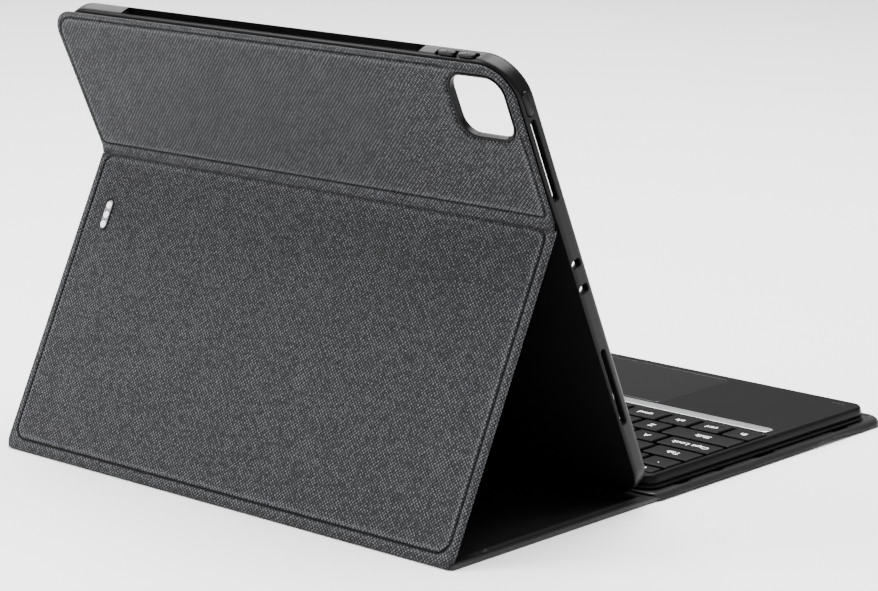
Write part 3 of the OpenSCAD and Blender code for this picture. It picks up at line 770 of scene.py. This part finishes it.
cuts = [
    slab_mesh(BAY, TRAY_R - 3, [(0, BAY_FLOOR), (0, LIP_W)], tray_at(0, BAY_MID)),
    slab_mesh((BAY[0] - 4.4, BAY[1] - 4.4), TRAY_R - 5, [
        (0, LIP_W - 1), (0, LIP_W + 0.3), (-0.25, LIP_W + 0.65), (-0.6, TRAY_T + 0.05),
        (-0.6, TRAY_T + 2)], tray_at(0, BAY_MID)),
    slab_mesh((WINDOW_SIZE, WINDOW_SIZE), WINDOW_R, [(0, 0), (0, 3.0), (-0.5, 3.6), (-0.5, 4.5)],
              tray_at(*WINDOW)),
    slab_mesh((240.2, 8.2), SQUARE, [(0, 2.5), (0, 4.0)],
              tray_at(0, BAY_MID - BAY[1] / 2 + 8.2)),
]
for side in (-1, 1):
    for v in (30.0, -87.2):
        cuts.append(wall_slot(side_at(side, v, 5.2), 40.0, 3.2, -side))
for v in (-22.2, -35.2):
    cuts.append(wall_slot(side_at(-1, v, 5.4), 4.0, 5.6, 1))
cuts.append(wall_slot(side_at(1, BAY_MID, 6.5), 15.0, 5.6, -1))
cuts.append(slab_mesh((188.0, 6.1), SQUARE, [(0, -4), (0, 6)], top_at(3.0, 6.55)))
cuts.append(wall_slot(top_at(-111.8, 5.2), 24.0, 5.0, 1, deep=1.3, lip=0.3, mouth=0.35))
cuts.append(wall_slot(side_at(-1, 58.0, 5.2), 12.3, 4.3, 1, deep=1.3, lip=0.3, mouth=0.3))
# The back is stepped in below the fold, where the stand panel folds flat
cuts.append(slab_mesh((CASE_W + 8, TRAY_H), SQUARE, [(0, 1.0), (0, 2.3)],
                      tray_at(0, 0.6 - TRAY_H / 2)))
cut(tray, cuts)
finish_piece(tray, "soft_plastic", "tray", "tray_shell")

surround = slab("camera window ring", (WINDOW_SIZE + 2.5, WINDOW_SIZE + 2.5), WINDOW_R + 1.25, [
    (0, 2.0), (0, 0.1), (0.12, -0.12), (0.4, -0.2), (0.75, -0.1), (1.2, 0.35), (1.25, 2.0)][::-1],
    tray_at(*WINDOW), arc=14)
cut(surround, [slab_mesh((WINDOW_SIZE, WINDOW_SIZE), WINDOW_R, [(0, -2), (0, 4)],
                         tray_at(*WINDOW), arc=14)])
finish_piece(surround, "gloss_black", "tray", "camera_surround")

PAD_LEVELS = [(0.45, -0.85), (0.15, -0.7), (0, -0.45), (0, 0.85)]
for name, node, x in (("soft volume up pad", "volume_up_pad", -106.2),
                      ("soft volume down pad", "volume_down_pad", -117.4)):
    shape = slab_mesh((9.4, 3.2), stadium_radii(3.2), PAD_LEVELS, top_at(x, 5.2))
    mark = slab_mesh((0.5, 1.5), 0.2, [(0.06, -1.0), (0, -0.92), (0, -0.6)], top_at(x, 5.2))
    finish_piece(join_meshes(name, [shape, mark]), "soft_plastic", node[:-4], node)
power = slab("soft power pad", (11.6, 3.6), stadium_radii(3.6), [
    (0.5, -0.5), (0.15, -0.38), (0, -0.15), (0, 0.85)], side_at(-1, 58.0, 5.2))
finish_piece(power, "soft_plastic", "power_button", "power_pad")

# ---------------------------------------------------------------- contact plate

CELL_PITCH = 4.75
plate_middle = stand_at(127.3, STAND_LEN - 31.6)


def plate_at(a, b, c):
    """(a, b, c) -> up the stand panel, to the left, into the wedge, from the plate's middle."""
    return plate_middle(-b, a, c)


def cell_at(i):
    """The plate's frame with its middle moved to cell i."""
    return lambda a, b, c: plate_at(a + i * CELL_PITCH, b, c)


gasket = slab("black contact gasket", (16.8, 6.8), stadium_radii(6.8), [
    (1.3, 0.95), (1.25, 0.1), (0.95, -0.22), (0.5, -0.3), (0.12, -0.12), (0, 0.3), (0, 0.95)],
    plate_at, arc=12)
finish_piece(gasket, "soft_plastic", "stand", "contact_gasket")
plate = slab("pill contact plate", (14.6, 4.6), stadium_radii(4.6), [
    (0.35, -0.22), (0.1, -0.12), (0, 0.1), (0, 0.9)], plate_at, arc=12)
cells, moats = [], []
for i in (-1, 0, 1):
    moats.append(slab_mesh((4.2, 4.2), 2.09, [(0, -1), (0, 0.4)], cell_at(i), arc=10))
    cells.append(slab_mesh((3.7, 3.7), 1.84, [
        (1.1, -0.2), (0.7, -0.32), (0.35, -0.34), (0.12, -0.26), (0, -0.1), (0, 0.5)],
        cell_at(i), arc=10))
cut(plate, moats)
finish_piece(plate, "bright_plate", "stand", "contact_plate")
cells = finish_piece(join_meshes("contact cells", cells), "bright_plate", "stand",
                     "contact_plate")
cells.data.materials[0] = CELL

# ---------------------------------------------------------------- keyboard body

kb_middle = KB_REAR + KB_D / 2
FLAP_W = CASE_W + 2.4      # the leather hangs a little over the cover's sides
FLAP_D = FLAP_FRONT - FLAP_REAR
HELD_Y = -45.3             # y from the flap's middle where its rim hangs least


def flap_wave(points, z):
    """Drooping rim of the leather and its puckers beside the keyboard.

    d is the distance from the sides and the front. The rim hangs by 2.4 (1 - d / 2.6)^2 mm, and
    by 0.8 (1 - d / 2.6)^2 at HELD_Y. The top sinks by up to 1.2 mm from d = 2.6 to 10 mm where
    two sines of the place sum to more than 0.5.
    """
    x, y = points.T
    d = box_distance(x, y, (0, 20), (FLAP_W, FLAP_D + 40), 10.0)[0]
    wave = np.sin(y / 5.1 + 0.6) + 0.7 * np.sin(y / 8.3 + 1.3)
    pocket = np.clip((wave - 0.5) / 0.35, 0, 1) * np.clip((d - 2.6) / 0.9, 0, 1) * (d < 10)
    hang = 2.4 - 1.6 * bump_at(y, HELD_Y, 15)
    droop = hang * np.clip(1 - d / 2.6, 0, 1) ** 2
    return z - droop - (z > 3.9) * (1.2 * pocket - 0.12 * wave * (d < 3))


flap = slab("leather flap", (FLAP_W, FLAP_D), (6.0, 6.0, 10.0, 10.0), [
    (6, 2.9), (2.6, 2.9), (1.3, 2.88), (0.5, 2.95), (0.12, 3.2), (0, 3.5), (0.12, 3.8),
    (0.4, 4.05), (0.8, 4.15), (1.3, 4.18), (2.0, 4.18), (2.8, 4.18), (3.6, 4.15), (4.6, 4.12),
    (5.8, 4.12), (7.5, 4.12), (10.5, 4.12)],
    base_at(0, (FLAP_REAR + FLAP_FRONT) / 2), step=1.0, arc=12, lift=flap_wave)
finish_piece(flap, "flap_leather", "keyboard", "keyboard_flap")

shell = slab("keyboard bottom shell", (KB_W, KB_D), KB_R, [
    (1.4, TIER_LOW), (0.7, 4.4), (0.2, 4.8), (0, 5.3), (0.06, 5.75), (0.3, 6.08), (0.7, TIER_TOP),
    (1.7, TIER_TOP), (1.7, DECK_LOW)], base_at(0, kb_middle), arc=12)
screws = [slab_mesh((3.2, 3.2), 1.59, [(0, 3.5), (0, 4.7)], base_at(x, f))
          for x in (-133, -45, 45, 133) for f in (141.0, 239.2, 307.0)]
cut(shell, screws)
finish_piece(shell, "deck_plastic", "keyboard", "keyboard_shell")

deck_size = (KB_W - 2 * DECK_INSET, KB_D - 2 * DECK_INSET)
deck = slab("keyboard top deck", deck_size, KB_R - DECK_INSET, [
    (0.9, DECK_LOW), (0.35, 6.85), (0.05, 7.25), (0, 7.8), (0.08, 8.6), (0.22, 9.4),
    (0.4, 10.1), (0.62, 10.62), (0.95, 10.93), (1.35, 11.07), (1.8, DECK_TOP)],
    base_at(0, kb_middle), arc=12)
well_f = (KEY_ROWS[0] - 0.6, KEY_ROWS[-1] - KEY_GAP + 0.6)
TRIM_F, TRIM_W = (235.2, 243.0), 268.0
cuts = [
    slab_mesh((KEY_FIELD - KEY_GAP + 1.4, well_f[1] - well_f[0]), 1.4, [
        (0, WELL_FLOOR), (0, 10.8), (-0.12, 11.0), (-0.35, 11.12), (-0.35, 13)],
        base_at(0, sum(well_f) / 2)),
    slab_mesh((PAD_W + 1.2, PAD_D + 1.2), 3.6, [(0, 8.7), (0, 13)], base_at(0, PAD_F)),
    slab_mesh((TRIM_W, TRIM_F[1] - TRIM_F[0]), 3.0, [
        (0, DECK_TOP - 0.3), (0, 11.0), (-0.2, 11.15), (-0.2, 13)], base_at(0, sum(TRIM_F) / 2)),
    slab_mesh((9.1, 3.0), 1.49, [(0, -9.5), (0, -0.5), (-0.3, 0.1), (-0.3, 3)],
              lambda a, b, c: base_at(KB_W / 2, 256.0, 8.35)(c, a, b)),
    slab_mesh((7.2, 2.2), 1.09, [(0, -3.4), (0, -0.8), (-0.25, -0.3), (-0.25, 3)],
              lambda a, b, c: base_at(KB_W / 2, 276.0, 8.2)(c, a, b)),
]
for i in range(3):
    cuts.append(slab_mesh((2.0, 0.9), 0.44, [(0, 9.9), (0, 11.05), (-0.1, 11.13), (-0.1, 13)],
                          base_at(-130.2 + 2.6 * i, 304.0)))
cut(deck, cuts)
finish_piece(deck, "deck_plastic", "keyboard", "keyboard_deck")

strip = slab("bright strip", (TRIM_W - 0.3, TRIM_F[1] - TRIM_F[0] - 0.3), 2.85, [
    (0, DECK_TOP - 0.3), (0, 11.25), (0.12, 11.36), (0.35, 11.42), (1.2, 11.45)],
    base_at(0, sum(TRIM_F) / 2), arc=8)
cut(strip, [slab_mesh((TRIM_W + 10, 0.8), SQUARE, [(0, 10.95), (0, 12)],
                      base_at(0, TRIM_F[1] - 1.7))])
finish_piece(strip, "silver_trim", "keyboard", "trim_strip")

bezel = slab("thin trackpad bezel", (PAD_W + 1.1, PAD_D + 1.1), 3.55, [
    (0, 10.5), (0, 11.05), (0.1, 11.16), (0.25, 11.18), (0.36, 11.1), (0.36, 10.5)],
    base_at(0, PAD_F), arc=8)
cut(bezel, [slab_mesh((PAD_W + 0.4, PAD_D + 0.4), 3.2, [(0, 10), (0, 12)], base_at(0, PAD_F))])
finish_piece(bezel, "dark_metal", "keyboard", "trackpad_bezel")
pad = slab("trackpad surface", (PAD_W, PAD_D), 3.0, [
    (0, 10.1), (0, 10.9), (0.08, 11.02), (0.25, 11.09), (0.6, 11.1)], base_at(0, PAD_F), arc=8)
finish_piece(pad, "trackpad_glass", "trackpad_plate", "trackpad")

# ---------------------------------------------------------------- keys

# Widths in key units and generic printing of each row, from the user's left
ROWS = (
    ([14.5 / 14] * 14, "esc,F1,F2,F3,F4,F5,F6,F7,F8,F9,F10,F11,F12,del"),
    ([1.0] * 13 + [1.5], "`,1,2,3,4,5,6,7,8,9,0,-,=,delete"),
    ([1.5] + [1.0] * 13, "Tab,Q,W,E,R,T,Y,U,I,O,P,[,],\\"),
    ([1.75] + [1.0] * 11 + [1.75], "Caps Lock,A,S,D,F,G,H,J,K,L,;,',return"),
    ([2.25] + [1.0] * 10 + [2.25], "Shift,Z,X,C,V,B,N,M,comma,.,/,Shift"),
    ([1.0] * 3 + [1.25, 5.0, 1.25] + [1.0] * 4, "fn,ctrl,alt,cmd,,cmd,alt,<,^,>"),
)
UNIT = KEY_FIELD / 14.5


def cap_mesh(x, f, width, depth):
    """Key cap: an open box below, a bevelled plateau with a shallow dish above."""
    base = KEY_TOP - 1.5
    levels = [(1.3, base + 0.95), (1.3, base), (0.06, base), (0, base + 0.06), (0.04, base + 0.75),
              (0.16, base + 1.15), (0.36, base + 1.36), (0.62, base + 1.47), (0.95, KEY_TOP),
              (1.6, KEY_TOP - 0.03), (2.4, KEY_TOP - 0.08), (3.3, KEY_TOP - 0.11)]
    return slab_mesh((width, depth), 1.5, levels, base_at(x, f), arc=5)


def printing(words, size):
    """Flat (points, faces) of each (word, x, f), centred on its place just above the caps."""
    pieces = []
    for word, x, f in words:
        font = bpy.data.curves.new("word", "FONT")
        font.body, font.size, font.resolution_u = word, size * MM, 3
        font.offset = 0.045 * MM
        font.align_x, font.align_y = "CENTER", "CENTER"
        text = bpy.data.objects.new("word", font)
        mesh = bpy.data.meshes.new_from_object(text)
        points = np.empty(len(mesh.vertices) * 3)
        mesh.vertices.foreach_get("co", points)
        points = points.reshape(-1, 3) / MM
        pieces.append((base_at(x, f)(points[:, 0], points[:, 1], KEY_TOP - 0.03),
                       [tuple(p.vertices) for p in mesh.polygons]))
        bpy.data.objects.remove(text)
        bpy.data.meshes.remove(mesh)
        bpy.data.curves.remove(font)
    return pieces


for row, (units, legends) in enumerate(ROWS):
    legends = [{"comma": ","}.get(word, word) for word in legends.split(",")]
    starts = np.concatenate([[0], np.cumsum(units)])
    f = (KEY_ROWS[row] + KEY_ROWS[row + 1] - KEY_GAP) / 2
    depth = KEY_ROWS[row + 1] - KEY_ROWS[row] - KEY_GAP
    caps, words = [], []
    for i, width in enumerate(units):
        x = (starts[i] + width / 2) * UNIT - KEY_FIELD / 2
        cap = cap_mesh(x, f, width * UNIT - KEY_GAP, depth)
        if row == 5 and i == 4:
            finish_piece(join_meshes("space bar cap", [cap]), "key_plastic", "space", "space_bar")
            continue
        caps.append(cap)
        if legends[i]:
            words.append((legends[i], x, f + 0.3))
    finish_piece(join_meshes(f"caps of row {row + 1}", caps), "key_plastic", f"keys_{row + 1}",
                 f"key_row_{row + 1}")
    ink = join_meshes(f"printing of row {row + 1}", printing(words, 3.4 if row == 0 else 5.0))
    ink.data.materials.append(INK)
    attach(ink, f"keys_{row + 1}")

# ---------------------------------------------------------------- the other CAD nodes

# Every node that still shows takes the finish of its own slot
for part in frame["record"]["subparts"]:
    paint(frame["nodes"][part["node"]], part["material_slot"])

# ---------------------------------------------------------------- camera

camera_data = bpy.data.cameras.new("camera")
camera_data.lens = 123.3
camera_data.sensor_width = 36
camera = bpy.data.objects.new("camera", camera_data)
scene.collection.objects.link(camera)
scene.camera = camera
camera.location = (-0.94896, 0.88929 + FOLD_Y * MM, 0.38824)
camera.rotation_mode = "QUATERNION"
camera.rotation_quaternion = Vector((0.65728, -0.72103, -0.21931)).to_track_quat("-Z", "Y")
camera_data.clip_start, camera_data.clip_end = 0.05, 30

# ---------------------------------------------------------------- stage

floor = make_object("floor", np.array([(-6, -6, 0), (6, -6, 0), (6, 6, 0), (-6, 6, 0)]),
                    [(0, 1, 2, 3)])
floor.data.materials.append(plain("pale floor", "#ffffff", 0.8))

world = bpy.data.worlds.new("world")
scene.world = world
world.use_nodes = True
world.node_tree.nodes["Background"].inputs["Color"].default_value = (1.0, 1.0, 1.0, 1)
world.node_tree.nodes["Background"].inputs["Strength"].default_value = 0.55


def softbox(name, place, target, size, power):
    """Square area light at place, turned towards target."""
    data = bpy.data.lights.new(name, "AREA")
    data.energy, data.size = power, size
    light = bpy.data.objects.new(name, data)
    scene.collection.objects.link(light)
    light.location = place
    light.rotation_mode = "QUATERNION"
    light.rotation_quaternion = (Vector(target) - Vector(place)).to_track_quat("-Z", "Y")


softbox("key", (0.6, 0.7, 0.75), (0, 0.1, 0.12), 0.5, 13.5)
softbox("top", (0.0, -0.3, 2.0), (0, 0, 0), 1.6, 135)
softbox("side", (-1.8, -0.6, 0.9), (0, 0, 0.05), 0.8, 1.5)
softbox("rim", (1.5, -0.75, 1.45), (0, 0.05, 0.15), 0.9, 20)
